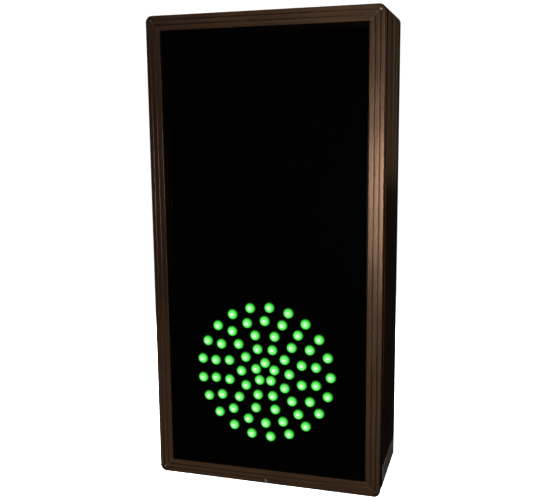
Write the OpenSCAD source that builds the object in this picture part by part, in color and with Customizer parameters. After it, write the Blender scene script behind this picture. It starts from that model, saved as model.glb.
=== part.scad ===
// Direct-view LED lane signal, red over green, in a hinged extruded cabinet.
// The origin is the centre of the wall face; the front faces -Y and +Z is up.

/* [Cabinet] */
// Width of the front face
body_w = 177.8; // [170:0.1:220]
// Height of the front face
body_h = 355.6; // [345:0.1:420]
// Depth from the front face to the wall
body_d = 76.2; // [74:0.1:110]
// Radius of the four outer corners
corner_r = 5; // [3:0.5:6]
// Thickness of the extruded cabinet wall
wall_t = 2.4; // [2:0.1:3]

/* [Door] */
// Width of the moulded face of each door rail
face_w = 11.2; // [10.8:0.1:12]
// Rounding of the outer front edge
edge_r = 0.8; // [0.6:0.1:2]
// Thickness of the smoked face panel
panel_t = 3; // [2.5:0.1:3]
// Width of the two grooves along the face
groove_w = 0.6; // [0.4:0.1:1.2]
// Depth of the two grooves along the face
groove_d = 0.5; // [0.3:0.1:1]

/* [Light sources] */
// Diameter of one LED
led_dia = 8; // [5:0.5:8]
// Height of an LED cluster's centre above or below the middle
cluster_z = 90.8; // [80:0.1:91.5]
// Sideways place of both cluster centres
cluster_x = -1.9; // [-3:0.1:3]

/* [Wall mounting] */
// Hole to hole distance across
mount_x = 127; // [100:1:130]
// Hole to hole distance up the wall
mount_z = 304.8; // [250:0.1:305]
// Diameter of a mounting hole
mount_hole = 6.5; // [4:0.5:8]
// Height of the wiring entry relative to the middle
entry_z = -110; // [-120:1:-90]

/* [Hidden] */

$fn = 48;
eps = 0.5;

// Depths behind the front face
flange_back = 3;
lip_back = 2;
gasket_t = 0.5;
panel_front = lip_back + gasket_t;
panel_back = panel_front + panel_t;
spine_back = 8.4;
seal_back = 9.7;
cab_front = 10;
cab_flange_t = 2;
sheet_t = 2;
back_front = body_d - sheet_t;
rear_flange_front = back_front - 2;

// Distances inwards from the outer edge
groove_1 = 3.5;
groove_2 = 7.2;
spine_out = 6.4;
spine_in = 8;
panel_edge = 8.2;
seal_out = 0.9;
seal_in = 6.2;
cab_flange_in = 14;
rear_flange_in = 10;

// Hinge along the top of the door
hinge_u = 2.8;
hinge_v = 6.5;
barrel_r = 2.2;
pin_r = 1.2;
running_gap = 0.05;
hinge_len = 150;
knuckles = 6;
knuckle_len = hinge_len / knuckles;
leaf_t = 1;
rivet_xs = [-60, -20, 20, 60];
rivet_r = 1;
rivet_head_r = 1.6;
leaf_rivet_u = 8.6;

// Round-headed pins in the mitred corners of the door, where the outer grooves cross
corner_head_r = 1.3;
corner_head_t = 1;
corner_dome_r = 1.7;
corner_shank_r = 0.7;
corner_pin_len = 2.8;
corner_sink = 0.1;

// Quarter-turn lock at the bottom of the door
lock_u = 2.1;
lock_head_r = 1.6;
lock_shank_r = 1.1;
lock_head_t = 1.4;
cam_front = 7.4;
cam_t = 1.2;
cam_len = 3.8;
lock_gap = 9;
slot_w = 0.8;
slot_t = 0.8;
clip_r = 1.8;
keeper_x0 = 1.8;
keeper_x1 = 8;
keeper_rivet_x = 6.8;
keeper_rivet_u = 3.4;
keeper_rivet_r = 0.8;
keeper_rivet_head_r = 1;

// LED tray and boards
tray_front = 8;
tray_t = 1.5;
tray_edge = cab_flange_in + 0.6;
tray_back = 20;
board_front = 15.2;
board_t = 1.6;
board_size = 140;
standoff_at = 64;
standoff_floor = 1.5;
screw_reach = 3.8;
header_h = 8;
led_tip = 5.9;
led_len = board_front - led_tip;
mask_hole_r = led_dia / 2 + 0.3;
ear_z = 110;
// Each ring: number of LEDs, radius and angle of the first
rings = [[5, 7.7, 18], [10, 19.2, 0], [12, 30, 15], [18, 40.8, 10], [21, 51.5, 0]];

// Driver
driver_x = 70;
driver_z = 120;
driver_zc = 60;
driver_front = 40;
driver_wall = 1.5;
foot_len = 10;
foot_inset = 12;
ribbon_w = 6;
ribbon_t = 1.2;

// Field wiring terminal, with the ground stud beside it
ground_x = 52;
ground_r = 2.4;
ground_len = 18;
term_z = -45;
term_ways = 5;
term_pitch = 9;
term_w = term_ways * term_pitch + 3;
term_h = 16;
header_front = 60;
plug_front = 44;

// Corner keys
key_front = 40;
key_w = 14;
key_t = 2.4;
key_leg = 26;
key_screw_at = 20;
channel_lip = 1.6;

// Back panel, its rivets and the weep holes
back_rivet_u = 6.2;
back_rivet_zs = [-140, -70, 0, 70, 140];
back_rivet_xs = [-40, 40];
back_rivet_r = 1.6;
knockout_r = 11.1;
bushing_bore_r = 8;
bushing_flange_r = 14;
weep_xs = [-50, 50];
weep_v = 65;
weep_r = 2.5;

// Blank label on the right side
label_t = 0.4;
label_border = 2;
label_low = 6;
label_high = 20;
label_front = 12;
label_back = 69;

bronze = [0.20, 0.14, 0.10];
black = [0.03, 0.03, 0.03];
steel = [0.62, 0.63, 0.65];
board_green = [0.05, 0.22, 0.12];

// ---- Shared shapes -------------------------------------------------------

// Children drawn with Y as the depth behind the front face
module from_front() {
    translate([0, -body_d, 0])
        children();
}

// A cylinder along Y from depth y0 to y1
module rod(x, z, y0, y1, r) {
    translate([x, y0, z])
        rotate([-90, 0, 0])
            cylinder(r = r, h = y1 - y0);
}

// A box given by its lowest and highest corners
module block(low, high) {
    translate(low)
        cube(high - low);
}

function side_len(i) = i % 2 == 0 ? body_w : body_h;
function side_half(i) = (i % 2 == 0 ? body_h : body_w) / 2;

// A straight length of the 2D profile along side i: 0 top, 1 right, 2 bottom, 3 left.
// The profile's x runs inwards from the outer edge and its y is the depth.
module along_side(i, trim = 0) {
    rotate([0, 90 * i, 0])
        translate([-side_len(i) / 2 + trim, 0, side_half(i)])
            rotate([0, 90, 0])
                linear_extrude(height = side_len(i) - 2 * trim)
                    children();
}

// The wedge that gives side i its two mitred ends
module mitre_wedge(i, reach) {
    half = side_half(i);
    run = side_len(i) / 2;
    rotate([0, 90 * i, 0])
        translate([0, body_d + 1, 0])
            rotate([90, 0, 0])
                linear_extrude(height = body_d + 2)
                    polygon([
                        [-run - 1, half + 1], [run + 1, half + 1],
                        [run - reach, half - reach], [reach - run, half - reach]
                    ]);
}

// What is cut off the four corners to round them, inset inwards by inset
module corner_cutters(r, inset = 0) {
    for (sx = [-1, 1], sz = [-1, 1])
        translate([sx * (body_w / 2 - inset - r), -1, sz * (body_h / 2 - inset - r)])
            difference() {
                block([sx > 0 ? 0 : -r - 2, 0, sz > 0 ? 0 : -r - 2],
                      [sx > 0 ? r + 2 : 0, body_d + 2, sz > 0 ? r + 2 : 0]);
                translate([0, -1, 0])
                    rotate([-90, 0, 0])
                        cylinder(r = r, h = body_d + 4);
            }
}

// A mitred rail of the given profile on side i
module rail(i, reach) {
    from_front()
        difference() {
            intersection() {
                along_side(i)
                    children();
                mitre_wedge(i, reach);
            }
            corner_cutters(corner_r);
        }
}

// A rectangular ring between two insets from the outer edge
module ring_plate(out, in, y0, y1) {
    difference() {
        block([out - body_w / 2, y0, out - body_h / 2], [body_w / 2 - out, y1, body_h / 2 - out]);
        block([in - body_w / 2, y0 - 1, in - body_h / 2], [body_w / 2 - in, y1 + 1, body_h / 2 - in]);
    }
}

// Children at every LED place of the cluster whose centre is at height zc
module led_places(zc) {
    for (ring = rings, k = [0 : ring[0] - 1]) {
        angle = ring[2] + 360 * k / ring[0];
        translate([cluster_x + ring[1] * cos(angle), 0, zc + ring[1] * sin(angle)])
            children();
    }
}

// Children at the four corners of a rectangle in the XZ plane
module at_corners(half_x, half_z, zc = 0) {
    for (sx = [-1, 1], sz = [-1, 1])
        translate([sx * half_x, 0, zc + sz * half_z])
            children();
}

// ---- Door ----------------------------------------------------------------

module door_profile() {
    difference() {
        union() {
            square([spine_in, flange_back]);
            square([face_w, lip_back]);
            translate([spine_out, 0])
                square([spine_in - spine_out, spine_back]);
        }
        difference() {
            translate([-1, -1])
                square([edge_r + 1, edge_r + 1]);
            translate([edge_r, edge_r])
                circle(r = edge_r);
        }
        for (u = [groove_1, groove_2])
            translate([u - groove_w / 2, -1])
                square([groove_w, groove_d + 1]);
    }
}

// Children at the four corner pins
module corner_pin_places() {
    from_front()
        at_corners(body_w / 2 - groove_1, body_h / 2 - groove_1)
            children();
}

// A moulded rail with the recesses for its two corner pins
module door_rail(i) {
    difference() {
        rail(i, face_w + 2)
            door_profile();
        corner_pin_places() {
            rod(0, 0, -1, corner_sink + corner_head_t + running_gap, corner_head_r + 0.3);
            rod(0, 0, 0, corner_sink + corner_pin_len + running_gap, corner_shank_r + running_gap);
        }
    }
}

// Half outline of a corner pin: x is the radius, y the height above its inner end
module corner_pin_outline() {
    square([corner_shank_r, corner_pin_len]);
    intersection() {
        translate([0, corner_pin_len - corner_head_t])
            square([corner_head_r, corner_head_t]);
        translate([0, corner_pin_len - corner_dome_r])
            circle(r = corner_dome_r);
    }
}

module door_corner_pins() {
    color(bronze)
        corner_pin_places()
            translate([0, corner_sink + corner_pin_len, 0])
                rotate([90, 0, 0])
                    rotate_extrude()
                        corner_pin_outline();
}

module door_top_rail() {
    color(bronze)
        difference() {
            door_rail(0);
            from_front()
                rivet_row(running_gap);
        }
}

module door_bottom_rail() {
    color(bronze)
        difference() {
            door_rail(2);
            from_front() {
                rod(0, lock_u - body_h / 2, -1, lock_head_t + running_gap, lock_head_r + running_gap);
                rod(0, lock_u - body_h / 2, 0, flange_back + 1, lock_shank_r + running_gap);
            }
        }
}

module door_left_rail() {
    color(bronze)
        door_rail(3);
}

module door_right_rail() {
    color(bronze)
        door_rail(1);
}

module glazing_gasket() {
    color(black)
        from_front()
            ring_plate(panel_edge, face_w - 0.2, lip_back, panel_front);
}

module face_panel() {
    color([0.02, 0.02, 0.02, 0.8])
        from_front()
            block([panel_edge - body_w / 2, panel_front, panel_edge - body_h / 2],
                  [body_w / 2 - panel_edge, panel_back, body_h / 2 - panel_edge]);
}

// Four beads that snap in behind the panel; the side ones fit between the other two
module glazing_beads() {
    bead_w = face_w - 0.2 - spine_in;
    bead_back = spine_back - 0.2;
    z_mid = (body_h - bead_w) / 2 - spine_in;
    x_mid = (body_w - bead_w) / 2 - spine_in;
    side_reach = z_mid - bead_w / 2 - 0.1;
    color(bronze)
        from_front()
            for (s = [-1, 1]) {
                block([spine_in - body_w / 2, panel_back, s * z_mid - bead_w / 2],
                      [body_w / 2 - spine_in, bead_back, s * z_mid + bead_w / 2]);
                block([s * x_mid - bead_w / 2, panel_back, -side_reach],
                      [s * x_mid + bead_w / 2, bead_back, side_reach]);
            }
}

// Rubber strip round the door in two lengths, open at the hinge and at the lock. It is
// thinner along the top, where it swings past the cabinet's edge.
module door_seal() {
    color(black)
        from_front()
            difference() {
                ring_plate(seal_out, seal_in, flange_back, seal_back);
                corner_cutters(corner_r - seal_out, seal_out);
                block([-hinge_len / 2 - 1, 0, 0], [hinge_len / 2 + 1, body_d, body_h]);
                block([-body_w, seal_back - 0.5, body_h / 2 - spine_out], [body_w, body_d, body_h]);
                block([-lock_gap, 0, -body_h], [lock_gap, body_d, 0]);
                ring_plate(-1, seal_out + 0.8, 5.8, 6.8);
            }
}

// ---- Hinge ---------------------------------------------------------------

// Knuckles number first, first + 2 and so on, along the hinge line
module knuckle_row(first) {
    for (k = [first : 2 : knuckles - 1])
        translate([-hinge_len / 2 + k * knuckle_len + 0.2, hinge_v, body_h / 2 - hinge_u])
            rotate([0, 90, 0])
                cylinder(r = barrel_r, h = knuckle_len - 0.4);
}

// The block that joins each knuckle of a row to its leaf
module knuckle_webs(first, y0, y1) {
    for (k = [first : 2 : knuckles - 1])
        block([-hinge_len / 2 + k * knuckle_len + 0.2, y0, body_h / 2 - hinge_u - 1],
              [-hinge_len / 2 + (k + 1) * knuckle_len - 0.2, y1, body_h / 2 - hinge_u + 1]);
}

module hinge_bore() {
    translate([-hinge_len / 2 - 1, hinge_v, body_h / 2 - hinge_u])
        rotate([0, 90, 0])
            cylinder(r = pin_r + running_gap, h = hinge_len + 2);
}

// Flush rivets that hold the door leaf to the spine of the top rail
module rivet_row(grow = 0) {
    for (x = rivet_xs)
        translate([x, hinge_v, body_h / 2 - spine_in - grow])
            cylinder(r = rivet_r + grow, h = spine_in - spine_out + leaf_t + 2 * grow);
}

module hinge_door_leaf() {
    color(bronze)
        from_front()
            difference() {
                union() {
                    knuckle_row(1);
                    knuckle_webs(1, flange_back + 0.5, hinge_v);
                    block([-hinge_len / 2, flange_back, body_h / 2 - spine_out],
                          [hinge_len / 2, flange_back + leaf_t, body_h / 2 - 1]);
                    block([-hinge_len / 2, flange_back, body_h / 2 - spine_out],
                          [hinge_len / 2, spine_back, body_h / 2 - spine_out + leaf_t]);
                }
                hinge_bore();
                rivet_row(running_gap);
            }
}

module hinge_door_rivets() {
    color(steel)
        from_front()
            rivet_row();
}

module hinge_cabinet_leaf() {
    color(bronze)
        from_front()
            difference() {
                union() {
                    knuckle_row(0);
                    knuckle_webs(0, hinge_v, cab_front - leaf_t / 2);
                    block([-hinge_len / 2, cab_front - leaf_t, body_h / 2 - 11],
                          [hinge_len / 2, cab_front, body_h / 2 - 1.2]);
                }
                hinge_bore();
                for (x = rivet_xs)
                    rod(x, body_h / 2 - leaf_rivet_u, cab_front - leaf_t - 1, cab_front + 1,
                        rivet_r + running_gap);
            }
}

module hinge_pin() {
    color(steel)
        from_front()
            translate([-hinge_len / 2 - 0.5, hinge_v, body_h / 2 - hinge_u])
                rotate([0, 90, 0])
                    cylinder(r = pin_r, h = hinge_len + 1);
}

// ---- Lock ----------------------------------------------------------------

// Quarter-turn stud: flush slotted head, shank and a cam that turns behind the keeper
module lock_stud() {
    zc = lock_u - body_h / 2;
    color(bronze)
        from_front()
            difference() {
                union() {
                    rod(0, zc, 0, lock_head_t, lock_head_r);
                    rod(0, zc, lock_head_t - 0.4, cam_front + cam_t, lock_shank_r);
                    block([-0.9, cam_front, zc], [0.9, cam_front + cam_t, zc + cam_len]);
                }
                block([-slot_w / 2, -1, zc - 3], [slot_w / 2, slot_t, zc + 3]);
            }
}

module lock_clip() {
    zc = lock_u - body_h / 2;
    color(steel)
        from_front()
            difference() {
                rod(0, zc, flange_back + 0.1, flange_back + 0.7, clip_r);
                rod(0, zc, flange_back, flange_back + 1, lock_shank_r + running_gap);
            }
}

// Folded strip: a foot on the flange, a riser, and a lip in front of the cam
module lock_keeper() {
    low = 1 - body_h / 2;
    lip_front = cam_front - 1.4;
    riser_x = 4.4;
    strip_t = 1.2;
    color(steel)
        from_front()
            difference() {
                union() {
                    block([keeper_x0, cab_front - leaf_t, low], [keeper_x1, cab_front, low + 4.8]);
                    block([riser_x, lip_front, low], [riser_x + strip_t, cab_front - leaf_t / 2, low + 3]);
                    block([keeper_x0 + 0.1, lip_front, low], [riser_x + strip_t, lip_front + 1, low + 3]);
                }
                rod(keeper_rivet_x, keeper_rivet_u - body_h / 2, cab_front - leaf_t - 1, cab_front + 1,
                    keeper_rivet_r + running_gap);
            }
}

// Rivets through the cabinet's front flange, for the hinge leaf and the keeper
module flange_rivets() {
    color(steel)
        from_front() {
            for (x = rivet_xs)
                flange_rivet(x, body_h / 2 - leaf_rivet_u, rivet_r, rivet_head_r);
            flange_rivet(keeper_rivet_x, keeper_rivet_u - body_h / 2, keeper_rivet_r,
                         keeper_rivet_head_r);
        }
}

module flange_rivet(x, z, r, head_r) {
    rod(x, z, cab_front - leaf_t - 0.3, cab_front - leaf_t, head_r);
    rod(x, z, cab_front - leaf_t - 0.15, cab_front + cab_flange_t + 0.3, r);
    rod(x, z, cab_front + cab_flange_t, cab_front + cab_flange_t + 0.8, head_r);
}

// ---- Cabinet -------------------------------------------------------------

module cabinet_profile() {
    difference() {
        union() {
            translate([0, cab_front])
                square([wall_t, body_d - cab_front]);
            translate([0, cab_front])
                square([cab_flange_in, cab_flange_t]);
            translate([0, rear_flange_front])
                square([rear_flange_in, back_front - rear_flange_front]);
            for (v = [key_front - channel_lip - 0.4, key_front + key_w + 0.4])
                translate([0, v])
                    square([wall_t + key_t + 0.4, channel_lip]);
        }
        polygon([[-1, cab_front - 1], [1.4, cab_front - 1], [-1, cab_front + 1.4]]);
        polygon([[-1, body_d + 1], [1.4, body_d + 1], [-1, body_d - 1.4]]);
    }
}

module cabinet_rail(i) {
    rail(i, cab_flange_in + 2)
        cabinet_profile();
}

module cabinet_top_rail() {
    color(bronze)
        difference() {
            cabinet_rail(0);
            from_front()
                for (x = rivet_xs)
                    rod(x, body_h / 2 - leaf_rivet_u, cab_front - 1, cab_front + cab_flange_t + 1,
                        rivet_r + running_gap);
            key_screw_holes();
        }
}

// The bottom rail has two weep holes
module cabinet_bottom_rail() {
    color(bronze)
        difference() {
            cabinet_rail(2);
            from_front() {
                rod(keeper_rivet_x, keeper_rivet_u - body_h / 2, cab_front - 1,
                    cab_front + cab_flange_t + 1, keeper_rivet_r + running_gap);
                for (x = weep_xs)
                    translate([x, weep_v, -body_h / 2 - 1])
                        cylinder(r = weep_r, h = wall_t + 2);
            }
            key_screw_holes();
        }
}

module cabinet_left_rail() {
    color(bronze)
        difference() {
            cabinet_rail(3);
            from_front()
                tray_screw_holes();
            key_screw_holes();
        }
}

module cabinet_right_rail() {
    color(bronze)
        difference() {
            cabinet_rail(1);
            from_front()
                tray_screw_holes();
            key_screw_holes();
        }
}

// Children at the eight places where a set screw bears on a corner key, pointing outwards
module key_screw_places() {
    from_front()
        for (sx = [-1, 1], sz = [-1, 1]) {
            translate([sx * (body_w / 2 - wall_t), key_front + key_w / 2, sz * (body_h / 2 - key_screw_at)])
                rotate([0, 90 * sx, 0])
                    children();
            translate([sx * (body_w / 2 - key_screw_at), key_front + key_w / 2, sz * (body_h / 2 - wall_t)])
                rotate([0, sz > 0 ? 0 : 180, 0])
                    children();
        }
}

// Blind holes from the inside, so that nothing shows on the outer face
module key_screw_holes() {
    key_screw_places()
        translate([0, 0, -eps])
            cylinder(r = 1.55, h = 1.5 + eps);
}

module corner_key_screws() {
    color(steel)
        key_screw_places()
            translate([0, 0, -key_t - 1.2]) {
                cylinder(r = 1.5, h = key_t + 2.5);
                cylinder(r = 2.6, h = 1.1);
            }
}

// Flat L-shaped keys that slide into the channels of two rails
module corner_keys() {
    mid = wall_t + key_t / 2;
    v_mid = key_front + key_w / 2;
    hole_x = body_w / 2 - key_screw_at;
    hole_z = body_h / 2 - key_screw_at;
    color(steel)
        from_front()
            for (sx = [-1, 1], sz = [-1, 1])
                difference() {
                    union() {
                        corner_leg(sx, sz, key_leg, key_t);
                        corner_leg(sx, sz, key_t, key_leg);
                    }
                    translate([sx * (body_w / 2 - mid), v_mid, sz * hole_z])
                        rotate([0, 90, 0])
                            cylinder(r = 1.6, h = key_t + 2, center = true);
                    translate([sx * hole_x, v_mid, sz * (body_h / 2 - mid)])
                        cylinder(r = 1.6, h = key_t + 2, center = true);
                }
}

module corner_leg(sx, sz, len_x, len_z) {
    gap = wall_t + 0.1;
    x0 = sx * (body_w / 2 - gap);
    z0 = sz * (body_h / 2 - gap);
    block([min(x0, x0 - sx * len_x), key_front, min(z0, z0 - sz * len_z)],
          [max(x0, x0 - sx * len_x), key_front + key_w, max(z0, z0 - sz * len_z)]);
}

// Children at the rivets round the edge of the back panel
module back_rivet_places() {
    for (z = back_rivet_zs, s = [-1, 1])
        translate([s * (body_w / 2 - back_rivet_u), 0, z])
            children();
    for (x = back_rivet_xs, s = [-1, 1])
        translate([x, 0, s * (body_h / 2 - back_rivet_u)])
            children();
}

module back_panel() {
    gap = wall_t + 0.2;
    color(bronze)
        from_front()
            difference() {
                block([gap - body_w / 2, back_front, gap - body_h / 2],
                      [body_w / 2 - gap, body_d, body_h / 2 - gap]);
                at_corners(mount_x / 2, mount_z / 2)
                    rod(0, 0, back_front - 1, body_d + 1, mount_hole / 2);
                rod(0, entry_z, back_front - 1, body_d + 1, knockout_r);
                back_rivet_places()
                    rod(0, 0, back_front - 1, body_d + 1, back_rivet_r + running_gap);
            }
}

module back_panel_rivets() {
    color(steel)
        from_front()
            back_rivet_places()
                rod(0, 0, back_front + 0.1, body_d, back_rivet_r);
}

// Snap bushing that lines the wiring entry
module wiring_bushing() {
    color(black)
        from_front()
            difference() {
                union() {
                    rod(0, entry_z, back_front - 1.8, back_front, bushing_flange_r);
                    rod(0, entry_z, back_front - 1, body_d - 0.2, knockout_r - 0.1);
                }
                rod(0, entry_z, back_front - 4, body_d + 1, bushing_bore_r);
            }
}

// Blank plate with a raised border, on the lower right side
module label_plate() {
    field = label_border;
    color([0.16, 0.16, 0.16])
        from_front()
            difference() {
                block([body_w / 2, label_front, label_low - body_h / 2],
                      [body_w / 2 + label_t, label_back, label_high - body_h / 2]);
                block([body_w / 2 + label_t / 2, label_front + field, label_low + field - body_h / 2],
                      [body_w / 2 + label_t + 1, label_back - field, label_high - field - body_h / 2]);
            }
}

// ---- LED tray and boards -------------------------------------------------

module tray_screw_places() {
    for (sx = [-1, 1], sz = [-1, 1])
        translate([sx * (body_w / 2 - 12.1), 0, sz * ear_z])
            children();
}

module tray_screw_holes() {
    tray_screw_places()
        rod(0, 0, cab_front - 2, cab_front + cab_flange_t + 1, 1.3);
}

// Folded tray: black mask with a hole for each LED, walls, and four ears on the flange
module led_tray() {
    half_x = body_w / 2 - tray_edge;
    half_z = body_h / 2 - tray_edge;
    color(black)
        from_front()
            difference() {
                union() {
                    difference() {
                        block([-half_x, tray_front, -half_z], [half_x, tray_back, half_z]);
                        block([tray_t - half_x, tray_front + tray_t, tray_t - half_z],
                              [half_x - tray_t, tray_back + 1, half_z - tray_t]);
                    }
                    for (sx = [-1, 1], sz = [-1, 1])
                        block([sx > 0 ? half_x - 0.5 : -half_x - 5, cab_front - 1, sz * ear_z - 6],
                              [sx > 0 ? half_x + 5 : 0.5 - half_x, cab_front, sz * ear_z + 6]);
                }
                for (zc = [-cluster_z, cluster_z])
                    led_places(zc)
                        rod(0, 0, tray_front - 1, tray_front + tray_t + 1, mask_hole_r);
                tray_screw_places()
                    rod(0, 0, cab_front - 2, cab_front + 1, 1.6);
            }
}

module tray_screws() {
    color(steel)
        from_front()
            tray_screw_places() {
                rod(0, 0, cab_front - 1.5, cab_front - 1, 2.2);
                rod(0, 0, cab_front - 1.2, cab_front + 5, 1.2);
            }
}

module led_board(zc) {
    half = board_size / 2;
    color(board_green)
        from_front()
            difference() {
                block([-half, board_front, zc - half], [half, board_front + board_t, zc + half]);
                at_corners(standoff_at, standoff_at, zc)
                    rod(0, 0, board_front - 1, board_front + board_t + 1, 1.6);
            }
}

module green_led_board() {
    led_board(-cluster_z);
}

module red_led_board() {
    led_board(cluster_z);
}

// One LED: a flanged barrel with a domed tip
module led_outline() {
    r = led_dia / 2;
    dome_r = r * 1.15;
    square([r + 0.5, 1.2]);
    difference() {
        square([r, led_len]);
        difference() {
            translate([0, led_len - dome_r])
                square([r + 1, dome_r + 1]);
            translate([0, led_len - dome_r])
                circle(r = dome_r);
        }
    }
}

module leds(zc) {
    from_front()
        led_places(zc)
            translate([0, board_front, 0])
                rotate([90, 0, 0])
                    rotate_extrude()
                        led_outline();
}

module green_leds() {
    color([0.3, 1, 0.3])
        leds(-cluster_z);
}

module red_leds() {
    color([0.25, 0.02, 0.02])
        leds(cluster_z);
}

module board_corner_places() {
    for (zc = [-cluster_z, cluster_z])
        at_corners(standoff_at, standoff_at, zc)
            children();
}

// Hexagonal spacers between the tray and the boards
module board_standoffs() {
    color(steel)
        from_front()
            board_corner_places()
                translate([0, tray_front + tray_t, 0])
                    rotate([-90, 0, 0])
                        difference() {
                            cylinder(r = 3.2, h = board_front - tray_front - tray_t, $fn = 6);
                            translate([0, 0, standoff_floor])
                                cylinder(r = 1.3, h = board_front);
                        }
}

module board_screws() {
    back = board_front + board_t;
    color(steel)
        from_front()
            board_corner_places() {
                rod(0, 0, back, back + 1.8, 2.8);
                rod(0, 0, board_front - screw_reach, back + 0.5, 1.2);
            }
}

// Shrouded header on the back of each board
module board_headers() {
    back = board_front + board_t;
    color(black)
        from_front()
            for (zc = [-cluster_z, cluster_z])
                difference() {
                    block([-9, back, zc - 4.5], [9, back + header_h, zc + 4.5]);
                    block([-8, back + 2, zc - 3.5], [8, back + header_h + 1, zc + 3.5]);
                }
}

// ---- Driver and wiring ---------------------------------------------------

module driver_corners() {
    at_corners(driver_x / 2 + foot_len / 2, driver_z / 2 - foot_inset, driver_zc)
        children();
}

// Deep tray with a pair of feet at each end and a slot for the ribbons in its lower wall
module driver_case() {
    low = [-driver_x / 2, driver_front, driver_zc - driver_z / 2];
    high = [driver_x / 2, back_front, driver_zc + driver_z / 2];
    wall = [driver_wall, driver_wall, driver_wall];
    foot_half = driver_x / 2 + foot_len;
    color([0.7, 0.7, 0.72])
        from_front()
            difference() {
                union() {
                    block(low, high);
                    for (z = [low[2] + foot_inset, high[2] - foot_inset])
                        block([-foot_half, back_front - driver_wall, z - 6],
                              [foot_half, back_front, z + 6]);
                }
                block(low + [driver_wall, -1, driver_wall], high - wall);
                driver_corners()
                    rod(0, 0, back_front - 5, back_front + 1, 2.1);
                block([-12, driver_front + 12, low[2] - 1], [12, driver_front + 16, low[2] + 5]);
            }
}

module driver_lid() {
    color([0.7, 0.7, 0.72])
        from_front()
            difference() {
                block([-driver_x / 2, driver_front - driver_wall, driver_zc - driver_z / 2],
                      [driver_x / 2, driver_front, driver_zc + driver_z / 2]);
                for (row = [-1, 1], k = [0 : 8])
                    block([row * 20 - 9, driver_front - 3, driver_zc - 24 + 6 * k],
                          [row * 20 + 9, driver_front + 1, driver_zc - 22 + 6 * k]);
            }
}

module driver_screws() {
    color(steel)
        from_front()
            driver_corners() {
                rod(0, 0, back_front - driver_wall - 2.4, back_front - driver_wall, 3.6);
                rod(0, 0, back_front - driver_wall - 1, back_front - 0.05, 2);
            }
}

module driver_board() {
    color(board_green)
        from_front()
            block([3 - driver_x / 2, 66, driver_zc - driver_z / 2 + 3],
                  [driver_x / 2 - 3, 67.6, driver_zc + driver_z / 2 - 3]);
}

module driver_transformer() {
    color([0.75, 0.6, 0.15])
        from_front()
            union() {
                block([-14, 46, driver_zc - 16], [14, 66, driver_zc + 16]);
                block([-19, 50, driver_zc - 10], [19, 62, driver_zc + 10]);
            }
}

module driver_capacitors() {
    color([0.1, 0.1, 0.3])
        from_front()
            for (x = [-20, 0, 20])
                rod(x, driver_zc + 38, 44, 66, 7.5);
}

function unit(v) = v / norm(v);
function normal(v) = [-v[1], v[0]];

// Point k of a path moved sideways by d, on the mitre between its two stretches
function beside(points, k, d) =
    let (last = len(points) - 1,
         before = normal(unit(points[max(k, 1)] - points[max(k, 1) - 1])),
         after = normal(unit(points[min(k + 1, last)] - points[min(k + 1, last) - 1])),
         mitre = unit(before + after))
    points[k] + mitre * d / (mitre * before);

// A flat ribbon through the listed depth and height points, centred on x
module ribbon(x, points) {
    last = len(points) - 1;
    translate([x - ribbon_w / 2, 0, 0])
        rotate([90, 0, 90])
            linear_extrude(height = ribbon_w)
                polygon(concat([for (k = [0 : last]) beside(points, k, ribbon_t / 2)],
                               [for (k = [last : -1 : 0]) beside(points, k, -ribbon_t / 2)]));
}

// One ribbon from the driver's slot to the header of each board
module driver_ribbons() {
    slot_y = driver_front + 14;
    low = driver_zc - driver_z / 2;
    start = board_front + board_t + 3;
    color([0.5, 0.5, 0.52])
        from_front() {
            ribbon(-4.5, [[slot_y, low + 8], [slot_y, low - 10], [30, -30], [30, -80],
                             [start + 5, -cluster_z], [start, -cluster_z]]);
            ribbon(4.5, [[slot_y, low + 8], [slot_y, low - 6], [32, low - 8], [32, 75],
                            [start + 5, cluster_z], [start, cluster_z]]);
        }
}

// Terminal header screwed to the back panel; the plug pulls off towards the door
module terminal_header() {
    color([0.1, 0.35, 0.15])
        from_front()
            difference() {
                block([-term_w / 2 - 2, header_front, term_z - term_h / 2],
                      [term_w / 2 + 2, back_front, term_z + term_h / 2]);
                block([-term_w / 2, header_front - 1, term_z - term_h / 2 + 2],
                      [term_w / 2, header_front + 9, term_z + term_h / 2 - 2]);
            }
}

module terminal_plug() {
    gap = 0.4;
    color([0.12, 0.42, 0.2])
        from_front()
            difference() {
                union() {
                    block([-term_w / 2 - 2, plug_front, term_z - term_h / 2],
                          [term_w / 2 + 2, header_front - gap, term_z + term_h / 2]);
                    block([gap - term_w / 2, header_front - 1, term_z - term_h / 2 + 2 + gap],
                          [term_w / 2 - gap, header_front + 8, term_z + term_h / 2 - 2 - gap]);
                }
                for (k = [0 : term_ways - 1]) {
                    x = (k - (term_ways - 1) / 2) * term_pitch;
                    rod(x, term_z + 3, plug_front - 1, plug_front + 5, 2.3);
                    block([x - 2.5, plug_front + 5, term_z - term_h / 2 - 1],
                          [x + 2.5, plug_front + 10, term_z]);
                }
            }
}

module terminal_screws() {
    color(steel)
        from_front()
            for (k = [0 : term_ways - 1]) {
                x = (k - (term_ways - 1) / 2) * term_pitch;
                difference() {
                    rod(x, term_z + 3, plug_front + 2, plug_front + 5, 2.2);
                    block([x - 3, plug_front + 1, term_z + 2.7], [x + 3, plug_front + 3, term_z + 3.3]);
                }
            }
}

module ground_stud() {
    color([0.75, 0.6, 0.3])
        from_front()
            rod(ground_x, term_z, back_front - ground_len, back_front, ground_r);
}

module ground_nuts() {
    color([0.75, 0.6, 0.3])
        from_front()
            for (y = [back_front - 3.5, back_front - 11])
                translate([ground_x, y, term_z])
                    rotate([-90, 0, 0])
                        difference() {
                            cylinder(r = 4.6, h = 3.4, $fn = 6);
                            translate([0, 0, -1])
                                cylinder(r = ground_r + running_gap, h = 6);
                        }
}

// ---- Assembly ------------------------------------------------------------

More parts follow.
